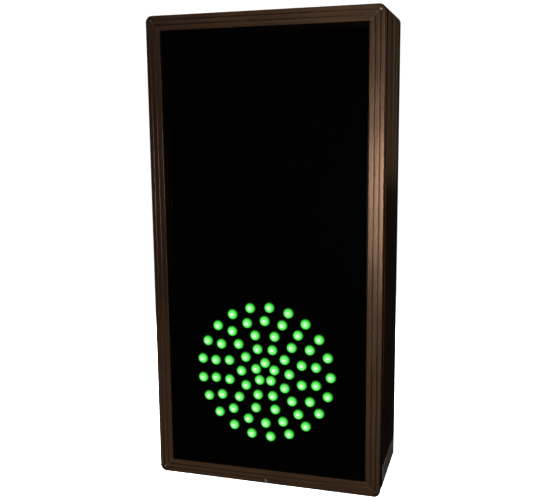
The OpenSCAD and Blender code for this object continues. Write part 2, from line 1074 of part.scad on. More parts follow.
door_top_rail();
door_bottom_rail();
door_left_rail();
door_right_rail();
door_corner_pins();
glazing_gasket();
face_panel();
glazing_beads();
door_seal();
hinge_door_leaf();
hinge_door_rivets();
hinge_cabinet_leaf();
hinge_pin();
lock_stud();
lock_clip();
lock_keeper();
flange_rivets();
cabinet_top_rail();
cabinet_bottom_rail();
cabinet_left_rail();
cabinet_right_rail();
corner_keys();
corner_key_screws();
back_panel();
back_panel_rivets();
wiring_bushing();
label_plate();
led_tray();
tray_screws();
green_led_board();
green_leds();
red_led_board();
red_leds();
board_standoffs();
board_screws();
board_headers();
driver_case();
driver_lid();
driver_screws();
driver_board();
driver_transformer();
driver_capacitors();
driver_ribbons();
terminal_header();
terminal_plug();
terminal_screws();
ground_stud();
ground_nuts();
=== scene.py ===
"""Looks of the direct-view LED lane signal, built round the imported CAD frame. Lengths are in metres."""

import math

import bmesh
import bpy
import numpy as np
from mathutils import Matrix, Vector


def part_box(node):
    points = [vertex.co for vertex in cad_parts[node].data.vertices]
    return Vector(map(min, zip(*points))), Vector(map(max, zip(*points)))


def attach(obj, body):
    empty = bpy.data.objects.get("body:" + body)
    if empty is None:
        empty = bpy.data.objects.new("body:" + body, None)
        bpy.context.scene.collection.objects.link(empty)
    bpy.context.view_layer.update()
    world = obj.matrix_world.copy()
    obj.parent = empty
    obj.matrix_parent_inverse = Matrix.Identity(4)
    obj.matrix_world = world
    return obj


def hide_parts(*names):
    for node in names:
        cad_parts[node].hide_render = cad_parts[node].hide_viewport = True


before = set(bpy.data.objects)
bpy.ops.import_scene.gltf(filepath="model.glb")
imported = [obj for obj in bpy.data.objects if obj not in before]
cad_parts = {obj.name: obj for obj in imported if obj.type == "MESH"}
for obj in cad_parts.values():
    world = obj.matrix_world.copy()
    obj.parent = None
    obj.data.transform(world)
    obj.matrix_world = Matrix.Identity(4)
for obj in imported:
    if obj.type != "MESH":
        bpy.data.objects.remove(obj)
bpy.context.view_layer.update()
MM = 0.001

# ---- Dimensions taken from the frame --------------------------------------

RAIL_LOW, RAIL_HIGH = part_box("door_top_rail")
HALF_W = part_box("door_right_rail")[1].x
HALF_H = RAIL_HIGH.z
FRONT = RAIL_LOW.y

# ---- Camera ----------------------------------------------------------------

AIM = Vector((3.9 * MM, FRONT, 6.4 * MM))
AZIMUTH = math.radians(16.89)
ELEVATION = math.radians(9.25)
ROLL = math.radians(-0.62)
DISTANCE = 0.5728
LENS = 52.12

# ---- Shape constants of the extrusions, in mm --------------------------------

CORNER_R = 5.0
FACE_W = 11.2
EDGE_R = 0.8
GROOVES = (3.5, 7.2)
GROOVE_W = 0.6
GROOVE_D = 0.5
BAND_EDGE = GROOVES[0] - GROOVE_W / 2 - 0.15
SECTION_REACH = 24.0
DOOR_LIP = 2.0
DOOR_FLANGE = (6.4, 8.0)
DOOR_FLANGE_BACK = 8.4
WEEP_X = 50.0
WEEP_V = 65.0
WEEP_R = 2.5

# Round pockets in the door rails, in mm: radius and depth
PIN_POCKET = (1.6, 1.1)
LOCK_POCKET = (1.65, 1.45)
LOCK_HEAD_R = 1.6


# ---- Shader building -----------------------------------------------------------

class Shader:
    """A material with a Principled surface and short ways to add nodes to it."""

    def __init__(self, name, **sockets):
        self.material = bpy.data.materials.new(name)
        self.material.use_nodes = True
        self.tree = self.material.node_tree
        self.surface = self.tree.nodes["Principled BSDF"]
        for socket, value in sockets.items():
            self.surface.inputs[socket.replace("_", " ")].default_value = value

    def node(self, kind, inputs=(), **settings):
        made = self.tree.nodes.new("ShaderNode" + kind)
        for key, value in settings.items():
            setattr(made, key, value)
        for socket, value in dict(inputs).items():
            self.give(made.inputs[socket], value)
        return made

    def give(self, socket, value):
        if isinstance(value, bpy.types.NodeSocket):
            self.tree.links.new(value, socket)
        else:
            socket.default_value = value

    def set(self, name, value):
        self.give(self.surface.inputs[name], value)

    def coords(self, stretch=(1, 1, 1)):
        where = self.node("TexCoord").outputs["Object"]
        return self.node("Mapping", {"Vector": where, "Scale": stretch}).outputs["Vector"]

    def noise(self, scale, detail=3.0, rough=0.55, stretch=(1, 1, 1)):
        found = self.node("TexNoise", {"Vector": self.coords(stretch), "Scale": scale,
                                       "Detail": detail, "Roughness": rough})
        return found.outputs["Fac"]

    def speckle(self, scale, stretch=(1, 1, 1)):
        found = self.node("TexVoronoi", {"Vector": self.coords(stretch), "Scale": scale})
        return found.outputs["Distance"]

    def maths(self, operation, a, b=0.0):
        made = self.node("Math", operation=operation)
        for socket, value in zip(made.inputs, (a, b)):
            self.give(socket, value)
        return made.outputs["Value"]

    def spread(self, value, low, high, to_low=0.0, to_high=1.0):
        made = self.node("MapRange", {"Value": value, "From Min": low, "From Max": high,
                                      "To Min": to_low, "To Max": to_high})
        return made.outputs["Result"]

    def axis(self, name):
        return self.node("SeparateXYZ", {"Vector": self.coords()}).outputs[name]

    def mix(self, share, a, b):
        made = self.node("Mix", data_type="RGBA")
        self.give(made.inputs[0], share)
        self.give(made.inputs[6], a)
        self.give(made.inputs[7], b)
        return made.outputs[2]

    def ramp(self, value, stops):
        made = self.node("ValToRGB", {"Fac": value})
        marks = made.color_ramp.elements
        while len(marks) < len(stops):
            marks.new(0.5)
        for mark, (place, colour) in zip(marks, stops):
            mark.position = place
            mark.color = (*colour, 1.0)
        return made.outputs["Color"]

    def bump(self, height, depth, strength=1.0, onto=None):
        made = self.node("Bump", {"Height": height, "Distance": depth, "Strength": strength})
        if onto is not None:
            self.give(made.inputs["Normal"], onto)
        self.set("Normal", made.outputs["Normal"])
        return made.outputs["Normal"]


def rgba(r, g, b):
    return (r, g, b, 1.0)


# ---- Materials ---------------------------------------------------------------------

BRONZE_DARK = rgba(0.080, 0.043, 0.0245)
BRONZE_LIGHT = rgba(0.142, 0.082, 0.048)
BRONZE_DEEP = rgba(0.030, 0.016, 0.009)
BARE_METAL = rgba(0.42, 0.36, 0.30)


def bronze(name, stretch, mitred=False, bands=None):
    """Bronze anodised extrusion: drawn streaks along the rail, an etched grain and soft blotches.
    bands stretches a second, coarser set of streaks, and the fine ones are then fainter."""
    s = Shader(name, Metallic=0.82, Coat_Weight=0.0, Specular_IOR_Level=0.3)
    streaks = s.noise(900.0, 2.0, 0.6, stretch)
    if bands:
        streaks = s.spread(streaks, 0.0, 1.0, 0.32, 0.68)
    grain = s.noise(1500.0, 2.0, 0.7)
    blotch = s.noise(38.0, 3.0, 0.5)
    tone = s.maths("ADD", s.maths("MULTIPLY", streaks, 0.45), s.maths("MULTIPLY", blotch, 0.35))
    tone = s.maths("ADD", tone, s.maths("MULTIPLY", grain, 0.25))
    colour = s.mix(s.spread(tone, 0.36, 0.70), BRONZE_DARK, BRONZE_LIGHT)
    roughness = s.spread(s.maths("ADD", grain, streaks), 0.7, 1.3, 0.26, 0.36)
    if mitred:
        colour = s.mix(mitre_line(s), colour, BARE_METAL)
    if bands:
        drawn = s.spread(s.noise(75.0, 4.0, 0.65, bands), 0.42, 0.58)
        colour = s.mix(s.maths("MULTIPLY", drawn, 0.16), colour, BRONZE_DEEP)
        s.set("Specular Tint", s.mix(drawn, rgba(1, 1, 1), rgba(0.12, 0.11, 0.10)))
    s.set("Base Color", colour)
    s.set("Roughness", roughness)
    first = s.bump(streaks, 0.03 * MM)
    s.bump(grain, 0.05 * MM, 0.8, onto=first)
    return s.material


def mitre_line(s):
    """1 on the filed edge of the 45 degree joint and 0 away from it, broken up by noise."""
    across = s.maths("SUBTRACT", HALF_W, s.maths("ABSOLUTE", s.axis("X")))
    along = s.maths("SUBTRACT", HALF_H, s.maths("ABSOLUTE", s.axis("Z")))
    away = s.maths("ABSOLUTE", s.maths("SUBTRACT", across, along))
    line = s.spread(away, 0.1 * MM, 0.42 * MM, 0.45, 0.0)
    return s.maths("MULTIPLY", line, s.spread(s.noise(700.0), 0.35, 0.6))


def black_rubber():
    s = Shader("black_rubber", Roughness=0.75, Specular_IOR_Level=0.12)
    dust = s.noise(350.0, 5.0)
    s.set("Base Color", s.mix(s.spread(dust, 0.45, 0.8), rgba(0.003, 0.003, 0.003),
                              rgba(0.009, 0.008, 0.008)))
    s.bump(s.noise(2600.0, 3.0), 0.05 * MM)
    return s.material


def smoked_panel():
    """Smoked acrylic with a fine non-glare texture: most of what is behind it stays dark."""
    s = Shader("smoked_panel", Alpha=PANEL_ALPHA, Specular_IOR_Level=0.015, IOR=1.3)
    haze = s.noise(55.0, 4.0)
    s.set("Base Color", s.mix(haze, rgba(0.0002, 0.0002, 0.0002), rgba(0.0007, 0.0006, 0.0006)))
    s.set("Roughness", s.spread(s.noise(1800.0, 2.0), 0.3, 0.7, 0.42, 0.55))
    s.bump(s.noise(3800.0, 2.0), 0.012 * MM)
    return s.material


def plated_steel():
    s = Shader("zinc_steel", Metallic=0.95)
    cloud = s.noise(420.0, 4.0)
    s.set("Base Color", s.mix(cloud, rgba(0.46, 0.46, 0.47), rgba(0.70, 0.69, 0.64)))
    s.set("Roughness", s.spread(s.noise(900.0, 3.0), 0.3, 0.7, 0.24, 0.46))
    s.bump(s.noise(2500.0), 0.02 * MM)
    return s.material


def painted_lock():
    """Bronze paint over steel, rubbed through to the metal in patches."""
    s = Shader("lock_metal", Metallic=0.6)
    low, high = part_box("lock_stud")
    from_middle = s.maths("ABSOLUTE", s.maths("SUBTRACT", s.axis("X"), (low.x + high.x) / 2))
    slot = s.spread(from_middle, 0.45 * MM, 0.6 * MM, 1.0, 0.0)
    wear_and_glint = s.spread(s.noise(1400.0, 3.0), 0.56, 0.66)
    worn = s.maths("MAXIMUM", slot, wear_and_glint)
    s.set("Base Color", s.mix(worn, rgba(0.10, 0.070, 0.050), rgba(0.38, 0.34, 0.30)))
    s.set("Roughness", s.spread(worn, 0.0, 1.0, 0.34, 0.26))
    s.bump(s.noise(2200.0), 0.03 * MM)
    return s.material


def pin_metal():
    """Dull bronzed steel; the pin of the top right corner has a painted glint, a bright and smoother colour
    standing in for a highlight.
    """
    s = Shader("pin_metal", Metallic=0.9)
    corner = s.maths("ADD", s.axis("X"), s.maths("MULTIPLY", s.axis("Z"), HALF_W / HALF_H))
    # Painted glint: this share rises towards the top right corner, so only that pin takes the bright colour
    wear_and_glint = s.spread(corner, 0.5 * HALF_W, 1.5 * HALF_W)
    patchy = s.noise(1800.0)
    dull = s.mix(patchy, rgba(0.11, 0.085, 0.065), rgba(0.22, 0.18, 0.15))
    # Painted highlight colour for the top right pin
    glint_colour = s.mix(patchy, rgba(0.62, 0.60, 0.57), rgba(0.80, 0.78, 0.74))
    s.set("Base Color", s.mix(wear_and_glint, dull, glint_colour))
    s.set("Roughness", s.spread(wear_and_glint, 0.0, 1.0, 0.34, 0.20))
    s.bump(s.noise(3000.0), 0.03 * MM)
    return s.material


def moulded(name, dark, light, rough=0.5, grain=0.03):
    """A moulded plastic with a fine spark-eroded texture."""
    s = Shader(name, Specular_IOR_Level=0.4)
    s.set("Base Color", s.mix(s.noise(240.0, 4.0), rgba(*dark), rgba(*light)))
    s.set("Roughness", s.spread(s.noise(1500.0), 0.3, 0.7, rough - 0.08, rough + 0.1))
    s.bump(s.noise(2800.0, 2.0), grain * MM)
    return s.material


def label_film():
    """Blank grey film: the raised border is rubbed lighter, the field has faint scuffs."""
    s = Shader("label_film", Specular_IOR_Level=0.35)
    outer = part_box("label_plate")[1].x
    raised = s.spread(s.axis("X"), outer - 0.12 * MM, outer - 0.05 * MM)
    scuffs = s.noise(500.0, 4.0, 0.6, (1, 1, 0.25))
    field = s.mix(scuffs, rgba(0.14, 0.135, 0.135), rgba(0.30, 0.285, 0.28))
    s.set("Base Color", s.mix(raised, field, rgba(0.44, 0.42, 0.41)))
    s.set("Roughness", s.spread(scuffs, 0.3, 0.7, 0.38, 0.6))
    s.bump(scuffs, 0.02 * MM)
    return s.material


def mask_black():
    """Flat black powder coat."""
    s = Shader("mask_black", Specular_IOR_Level=0.15)
    s.set("Base Color", s.mix(s.noise(300.0, 4.0), rgba(0.0015, 0.0015, 0.0015),
                              rgba(0.005, 0.005, 0.005)))
    s.set("Roughness", s.spread(s.noise(900.0), 0.3, 0.7, 0.7, 0.9))
    s.bump(s.speckle(1300.0), 0.06 * MM)
    return s.material


def circuit_board():
    """Green solder mask with copper tracks showing through as lighter lines, and plated pads."""
    s = Shader("circuit_board", Specular_IOR_Level=0.5)
    track = s.node("TexBrick", {"Vector": s.coords(), "Scale": 95.0, "Mortar Size": 0.035,
                                "Color1": rgba(0, 0, 0), "Color2": rgba(0, 0, 0), "Mortar": rgba(1, 1, 1)})
    pads = s.spread(s.speckle(260.0), 0.10, 0.13, 1.0, 0.0)
    mask = s.mix(s.noise(60.0), rgba(0.010, 0.060, 0.026), rgba(0.016, 0.085, 0.036))
    tracked = s.mix(track.outputs["Color"], mask, rgba(0.035, 0.15, 0.06))
    s.set("Base Color", s.mix(pads, tracked, rgba(0.45, 0.42, 0.35)))
    s.set("Metallic", s.spread(pads, 0.0, 1.0, 0.0, 0.7))
    s.set("Roughness", s.spread(s.noise(400.0), 0.3, 0.7, 0.28, 0.42))
    s.bump(track.outputs["Color"], 0.03 * MM)
    return s.material


def case_aluminium():
    s = Shader("case_aluminium", Metallic=0.95)
    brushed = s.noise(1600.0, 3.0, 0.6, (1, 1, 0.02))
    s.set("Base Color", s.mix(brushed, rgba(0.48, 0.49, 0.50), rgba(0.68, 0.68, 0.69)))
    s.set("Roughness", s.spread(brushed, 0.3, 0.7, 0.32, 0.48))
    s.bump(brushed, 0.02 * MM)
    return s.material


def coil_tape():
    s = Shader("coil_tape", Specular_IOR_Level=0.6)
    wraps = s.node("TexWave", {"Vector": s.coords(), "Scale": 110.0, "Distortion": 0.6},
                   bands_direction="Z")
    s.set("Base Color", s.mix(wraps.outputs["Fac"], rgba(0.62, 0.42, 0.05), rgba(0.80, 0.58, 0.10)))
    s.set("Roughness", s.spread(s.noise(300.0), 0.3, 0.7, 0.25, 0.4))
    s.bump(wraps.outputs["Fac"], 0.06 * MM)
    return s.material


def capacitor_sleeve():
    s = Shader("capacitor_sleeve", Specular_IOR_Level=0.6)
    s.set("Base Color", s.mix(s.noise(90.0), rgba(0.012, 0.014, 0.05), rgba(0.03, 0.034, 0.10)))
    s.set("Roughness", s.spread(s.noise(700.0), 0.3, 0.7, 0.22, 0.36))
    s.bump(s.noise(160.0), 0.08 * MM)
    return s.material


def ribbon_grey():
    """Flat cable: the wave gives one ridge for each conductor across X."""
    s = Shader("ribbon_grey")
    cores = s.node("TexWave", {"Vector": s.coords(), "Scale": 1.0 / (2.54 * MM) / 2.0}, bands_direction="X")
    s.set("Base Color", s.mix(cores.outputs["Fac"], rgba(0.20, 0.205, 0.21), rgba(0.42, 0.43, 0.44)))
    s.set("Roughness", s.spread(s.noise(500.0), 0.3, 0.7, 0.4, 0.55))
    s.bump(cores.outputs["Fac"], 0.3 * MM)
    return s.material


def brass():
    s = Shader("brass_plain", Metallic=1.0)
    s.set("Base Color", s.mix(s.noise(500.0), rgba(0.52, 0.36, 0.12), rgba(0.76, 0.58, 0.26)))
    s.set("Roughness", s.spread(s.noise(1100.0), 0.3, 0.7, 0.22, 0.42))
    s.bump(s.noise(2200.0), 0.02 * MM)
    return s.material


# Light from an LED crosses the panel's front and back surface
PANEL_ALPHA = 0.5
LED_POWER = 1.0 / (1.0 - PANEL_ALPHA) ** 2
# Share of the lens radius and what it sends out: a white core in a green lens with a dim rim
LIT_RAMP = [(0.00, (0.80, 1.00, 0.80)), (0.26, (0.76, 1.00, 0.75)), (0.46, (0.20, 0.96, 0.20)),
            (0.72, (0.11, 0.92, 0.11)), (0.86, (0.04, 0.50, 0.04)), (1.00, (0.004, 0.09, 0.004))]


def led_lit():
    s = Shader("led_green", Roughness=0.3)
    radial = s.node("Attribute", attribute_name="radial").outputs["Fac"]
    s.set("Base Color", s.mix(s.noise(800.0), rgba(0.03, 0.22, 0.04), rgba(0.05, 0.30, 0.06)))
    s.set("Emission Color", s.ramp(radial, LIT_RAMP))
    s.surface.inputs["Emission Strength"].default_value = LED_POWER
    s.bump(s.noise(2600.0), 0.01 * MM)
    return s.material


def led_dark():
    """Unlit diffused red epoxy, a little deeper over the die in the middle."""
    s = Shader("led_red", Specular_IOR_Level=0.06)
    radial = s.node("Attribute", attribute_name="radial").outputs["Fac"]
    s.set("Base Color", s.ramp(radial, [(0.0, (0.010, 0.001, 0.001)), (0.35, (0.022, 0.001, 0.001)),
                                        (1.0, (0.038, 0.002, 0.002))]))
    s.set("Roughness", s.spread(s.noise(900.0), 0.3, 0.7, 0.3, 0.42))
    s.bump(s.noise(2600.0), 0.01 * MM)
    return s.material


# ---- Mesh helpers -------------------------------------------------------------------

def finish_mesh(mesh, angle=32.0):
    """Outward normals, and smooth shading that breaks at edges sharper than angle."""
    work = bmesh.new()
    work.from_mesh(mesh)
    bmesh.ops.recalc_face_normals(work, faces=work.faces)
    work.to_mesh(mesh)
    work.free()
    mesh.shade_smooth()
    mesh.set_sharp_from_angle(angle=math.radians(angle))
    return mesh


def piece(name, mesh, body, material, nodes=()):
    """A finished piece that rides on body and stands for the listed CAD nodes."""
    made = bpy.data.objects.new(name, mesh)
    bpy.context.scene.collection.objects.link(made)
    mesh.materials.clear()
    mesh.materials.append(material)
    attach(made, body)
    if nodes:
        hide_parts(*nodes)
    return made


def mesh_of(name, points, faces):
    mesh = bpy.data.meshes.new(name)
    mesh.from_pydata([tuple(p) for p in points], [], faces)
    mesh.validate()
    return mesh


def with_modifier(mesh, kind, **settings):
    """The mesh after one modifier."""
    carrier = bpy.data.objects.new("carrier", mesh)
    bpy.context.scene.collection.objects.link(carrier)
    added = carrier.modifiers.new("step", kind)
    for key, value in settings.items():
        setattr(added, key, value)
    bpy.context.view_layer.update()
    shape = carrier.evaluated_get(bpy.context.evaluated_depsgraph_get())
    result = bpy.data.meshes.new_from_object(shape)
    bpy.data.objects.remove(carrier)
    return result


def cut(mesh, cutter):
    """mesh with the cutter mesh taken out of it."""
    tool = bpy.data.objects.new("tool", cutter)
    bpy.context.scene.collection.objects.link(tool)
    result = with_modifier(mesh, "BOOLEAN", operation="DIFFERENCE", solver="EXACT", object=tool)
    bpy.data.objects.remove(tool)
    return result


def evened(mesh):
    """The mesh with normals that keep its flat faces flat up to their rounded edges."""
    return with_modifier(mesh, "WEIGHTED_NORMAL", keep_sharp=True, weight=100)


def turned(name, outline, places, turns=24, radial=False):
    """Solids of revolution about Y, one at each place. The outline runs from the axis at the
    front to the axis at the back as (radius, depth) pairs in metres, in order."""
    points, faces, shares = [], [], []
    widest = max(r for r, _ in outline)
    for place in places:
        rings = []
        for r, y in outline:
            if r < 1e-9:
                rings.append([len(points)])
                points.append((place[0], place[1] + y, place[2]))
                shares.append(0.0)
                continue
            ring = []
            for k in range(turns):
                a = 2 * math.pi * k / turns
                ring.append(len(points))
                points.append((place[0] + r * math.cos(a), place[1] + y, place[2] + r * math.sin(a)))
                shares.append(r / widest)
            rings.append(ring)
        for near, far in zip(rings, rings[1:]):
            for k in range(turns):
                a, b = near[k % len(near)], near[(k + 1) % len(near)]
                c, d = far[(k + 1) % len(far)], far[k % len(far)]
                corners = list(dict.fromkeys((a, b, c, d)))
                if len(corners) > 2:
                    faces.append(corners)
    mesh = mesh_of(name, points, faces)
    if radial:
        values = mesh.attributes.new("radial", "FLOAT", "POINT")
        values.data.foreach_set("value", np.array(shares, np.float32))
    return mesh


def islands(node):
    """The lowest and highest corner of each separate solid of a CAD node."""
    work = bmesh.new()
    work.from_mesh(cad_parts[node].data)
    bmesh.ops.remove_doubles(work, verts=work.verts, dist=1e-6)
    unseen = set(work.verts)
    found = []
    while unseen:
        group, stack = [], [unseen.pop()]
        while stack:
            v = stack.pop()
            group.append(v.co.copy())
            for edge in v.link_edges:
                other = edge.other_vert(v)
                if other in unseen:
                    unseen.discard(other)
                    stack.append(other)
        co = np.array(group)
        found.append((Vector(co.min(0)), Vector(co.max(0))))
    work.free()
    return sorted(found, key=lambda pair: (round(pair[0].z, 5), round(pair[0].x, 5)))


# ---- Extruded rails ---------------------------------------------------------------------

def arc(centre, radius, start, end, steps):
    """Points of an arc in the profile plane, angles in degrees."""
    return [(centre[0] + radius * math.cos(math.radians(start + (end - start) * k / steps)),
             centre[1] + radius * math.sin(math.radians(start + (end - start) * k / steps)))
            for k in range(steps + 1)]


def groove(centre):
    """A groove with eased edges and a round bottom, as profile points from outside to inside."""
    ease = 0.15
    half = GROOVE_W / 2
    left = arc((centre - half - ease, ease), ease, -90, -5, 3)
    bottom = arc((centre, GROOVE_D - half), half, 180, 0, 8)
    right = [(2 * centre - u, v) for u, v in reversed(left)]
    return left + bottom + right


def door_profile():
    """(u, v): distance in from the outer edge and depth behind the front face, in mm."""
    points = [(0.0, 3.0)]
    points += arc((EDGE_R, EDGE_R), EDGE_R, 180, 270, 8)
    for centre in GROOVES:
        points += groove(centre)
    points += arc((FACE_W - 0.35, 0.35), 0.35, -90, 0, 4)
    near, far = DOOR_FLANGE
    points += [(FACE_W, DOOR_LIP), (far, DOOR_LIP), (far, DOOR_FLANGE_BACK),
               (near, DOOR_FLANGE_BACK), (near, 3.0)]
    return points


def cabinet_profile():
    front, back = 10.0, 76.2
    wall, flange, rear = 2.4, 14.0, 10.0
    points = arc((0.6, front + 0.6), 0.6, 180, 270, 4)
    points += arc((flange - 0.3, front + 0.3), 0.3, -90, 0, 3)
    points += [(flange, 12.0), (wall, 12.0)]
    for v in (38.0, 54.4):
        points += [(wall, v), (wall + 2.8, v), (wall + 2.8, v + 1.6), (wall, v + 1.6)]
    points += [(wall, 72.2), (rear, 72.2), (rear, 74.2), (wall, 74.2), (wall, back)]
    points += arc((0.6, back - 0.6), 0.6, 90, 180, 4)
    return points


def corner_inset(s):
    """How far the rounded corner comes in from the outer line, s mm along from the corner."""
    gone = max(CORNER_R - s, 0.0)
    return CORNER_R - math.sqrt(CORNER_R ** 2 - gone ** 2)


def squeezed(u, inset, soft, limit):
    """The outer band of the profile gives way to the rounded corner; the rest stays straight."""
    if u >= limit:
        return u
    share = min(1.0, (limit - inset) / soft)
    if u <= soft:
        return inset + u * share
    start = inset + soft * share
    return start + (u - soft) / (limit - soft) * (limit - start)


def swept_rail(name, side, profile, soft, limit):
    """The profile along one side of the rectangle, mitred at both ends, with rounded outer
    corners. Sides are 0 top, 1 right, 2 bottom and 3 left."""
    first = CORNER_R * (1 - math.sqrt(0.5))
    steps = 14
    stations = [CORNER_R * (1 - math.cos(math.radians(45 + 45 * k / steps))) for k in range(steps + 1)]
    stations += [CORNER_R + (SECTION_REACH - CORNER_R) * k / 4 for k in (1, 2, 3, 4)]
    long_half = (HALF_H if side % 2 else HALF_W) / MM
    out_half = (HALF_W if side % 2 else HALF_H) / MM
    turn = Matrix.Rotation(math.radians(90 * side), 4, "Y")
    points = []
    rows = []
    for end in (-1, 1):
        ordered = stations if end < 0 else list(reversed(stations))
        for s in ordered:
            row = []
            for u, v in profile:
                u0 = squeezed(u, first, soft, limit)
                u1 = squeezed(u, corner_inset(s), soft, limit)
                along = u0 + (SECTION_REACH - u0) * (s - first) / (SECTION_REACH - first)
                local = Vector((end * (long_half - along), 0, out_half - u1)) * MM
                spot = turn @ local
                row.append(len(points))
                points.append((spot.x, FRONT + v * MM, spot.z))
            rows.append(row)
    count = len(profile)
    faces = [[a[k], a[(k + 1) % count], b[(k + 1) % count], b[k]]
             for a, b in zip(rows, rows[1:]) for k in range(count)]
    faces += [list(reversed(rows[0])), rows[-1]]
    return finish_mesh(mesh_of(name, points, faces))


def post(centre, radius, y0, y1, turns=40):
    """A cylinder mesh along Y for cutting."""
    outline = [(0, 0), (radius, 0), (radius, y1 - y0), (0, y1 - y0)]
    return finish_mesh(turned("post", outline, [(centre[0], y0, centre[1])], turns))


def pocket(centre, radius, depth):
    """A cutter for a round pocket in the front face, radius and depth in mm."""
    return post(centre, radius * MM, FRONT - 1 * MM, FRONT + depth * MM)


def upright_post(centre, radius):
    """A short cylinder mesh along Z for cutting."""
    mesh = post((0, 0), radius, -10 * MM, 10 * MM)
    mesh.transform(Matrix.Translation(centre) @ Matrix.Rotation(math.pi / 2, 4, "X"))
    return mesh


SIDES = ("top", "right", "bottom", "left")


def build_door_rails():
    pins = [((low + high) / 2) for low, high in islands("door_corner_pins")]
    lock_low, lock_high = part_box("lock_stud")
    for side, word in enumerate(SIDES):
        node = f"door_{word}_rail"
        mesh = swept_rail(node + "_shell", side, door_profile(), EDGE_R, BAND_EDGE)
        low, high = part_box(node)
        for pin in pins:
            if low.x <= pin.x <= high.x and low.z <= pin.z <= high.z:
                mesh = cut(mesh, pocket((pin.x, pin.z), *PIN_POCKET))
        if word == "bottom":
            centre = ((lock_low.x + lock_high.x) / 2, lock_low.z + LOCK_HEAD_R * MM)
            mesh = cut(mesh, pocket(centre, *LOCK_POCKET))
        mesh = evened(finish_mesh(mesh))
        kind = BRONZE_UP if side % 2 else BRONZE_ACROSS
        piece(node + "_shell", mesh, "door", kind, [node])


def build_cabinet_rails():
    for side, word in enumerate(SIDES):
        node = f"cabinet_{word}_rail"
        mesh = swept_rail(node + "_shell", side, cabinet_profile(), 0.6, 2.3)
        if word == "bottom":
            for x in (-WEEP_X, WEEP_X):
                mesh = cut(mesh, upright_post(Vector((x * MM, FRONT + WEEP_V * MM, -HALF_H)), WEEP_R * MM))
            mesh = finish_mesh(mesh)
        mesh = evened(mesh)
        kind = SIDE_UP if side % 2 else SIDE_ACROSS
        piece(node + "_shell", mesh, "cabinet", kind, [node])


# ---- LEDs ------------------------------------------------------------------------------------

def lens_outline(radius, length):
    """Domed tip, straight barrel and flange of one LED, from its tip to its foot."""
    dome = radius * 1.15
    rim = dome - math.sqrt(dome ** 2 - radius ** 2)
    outline = [(0.0, 0.0)]
    rings = 9
    for k in range(1, rings + 1):
        r = radius * k / rings
        outline.append((r, dome - math.sqrt(dome ** 2 - r ** 2)))
    outline += [(radius, rim + 0.5 * MM), (radius, length - 1.2 * MM), (radius + 0.5 * MM, length - 1.1 * MM),
                (radius + 0.5 * MM, length), (0.0, length)]
    return outline


def build_leds(node, material):
    solids = islands(node)
    places = [((low.x + high.x) / 2, low.y, (low.z + high.z) / 2) for low, high in solids]
    low, high = solids[0]
    outline = lens_outline((high.x - low.x) / 2 - 0.5 * MM, high.y - low.y)
    mesh = turned(node + "_lenses", outline, places, 20, radial=True)
    values = mesh.attributes["radial"].data
    lens_share = ((high.x - low.x) / 2) / ((high.x - low.x) / 2 - 0.5 * MM)
    for value in values:
        value.value = min(1.0, value.value * lens_share)
    piece(node + "_lenses", finish_mesh(mesh, 40), "cabinet", material, [node])


# ---- Fasteners ------------------------------------------------------------------------------

def rounded_head(radius, thick, shank, length, sink=0.0):
    """Outline of a pan head with its shank, front first."""
    dome = 0.35 * thick
    outline = [(0.0, sink)]
    for k in range(1, 7):
        a = math.radians(90 * k / 6)
        outline.append((radius * math.sin(a) if k < 6 else radius, sink + dome * (1 - math.cos(a))))
    outline += [(radius, thick), (shank, thick), (shank, length), (0.0, length)]
    return outline


def cross_recess(place, size, depth):
    """A cross-shaped cutter pointing along Y at place."""
    arm, wide = size / 2, size * 0.15
    corners = [(-arm, -wide), (-wide, -wide), (-wide, -arm), (wide, -arm), (wide, -wide), (arm, -wide),
               (arm, wide), (wide, wide), (wide, arm), (-wide, arm), (-wide, wide), (-arm, wide)]
    points = [(place[0] + x, place[1] + y, place[2] + z) for y in (-1 * MM, depth) for x, z in corners]
    count = len(corners)
    faces = [[k, (k + 1) % count, count + (k + 1) % count, count + k] for k in range(count)]
    faces += [list(range(count)), list(range(2 * count - 1, count - 1, -1))]
    return finish_mesh(mesh_of("recess", points, faces), 20)


def repeated(mesh, offsets):
    """One mesh with a copy of mesh at each offset."""
    work = bmesh.new()
    for offset in offsets:
        copy = mesh.copy()
        copy.transform(Matrix.Translation(offset))
        work.from_mesh(copy)
        bpy.data.meshes.remove(copy)
    result = bpy.data.meshes.new("repeated")
    work.to_mesh(result)
    work.free()
    return result


def build_screws(node, body, head_t, material, flip=False):
    """Pan-head screws with a cross recess, where the CAD node has its plain ones."""
    solids = islands(node)
    low, high = solids[0]
    radius = (high.x - low.x) / 2
    outline = rounded_head(radius, head_t * MM, 1.2 * MM, high.y - low.y)
    if flip:
        outline = [(r, -y) for r, y in outline]
    one = finish_mesh(turned("screw", outline, [(0, 0, 0)], 32))
    recess = cross_recess((0, 0, 0), radius * 1.15, head_t * 0.55 * MM)
    if flip:
        recess.transform(Matrix.Scale(-1, 4, (0, 1, 0)))
        finish_mesh(recess)
    one = cut(one, recess)
    places = [Vector(((a.x + b.x) / 2, b.y if flip else a.y, (a.z + b.z) / 2)) for a, b in solids]
    piece(node + "_heads", finish_mesh(repeated(one, places)), body, material, [node])


def build_corner_pins():
    """Round-headed pins in the mitres of the door."""
    solids = islands("door_corner_pins")
    low, high = solids[0]
    radius = (high.x - low.x) / 2
    places = [((a.x + b.x) / 2, a.y, (a.z + b.z) / 2) for a, b in solids]
    dome = 1.7 * MM
    outline = [(0.0, 0.0)]
    for k in range(1, 9):
        r = radius * k / 8
        outline.append((r, dome - math.sqrt(dome ** 2 - r ** 2)))
    outline += [(radius, 1.0 * MM), (0.7 * MM, 1.0 * MM), (0.7 * MM, high.y - low.y), (0.0, high.y - low.y)]
    mesh = finish_mesh(turned("corner_pins", outline, places, 32), 40)
    piece("corner_pin_heads", mesh, "door", PIN, ["door_corner_pins"])


# ---- CAD nodes that keep their shape --------------------------------------------------------

def dress(material, *nodes):
    for node in nodes:
        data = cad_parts[node].data
        data.materials.clear()
        data.materials.append(material)


# ---- Everything ---------------------------------------------------------------------------------

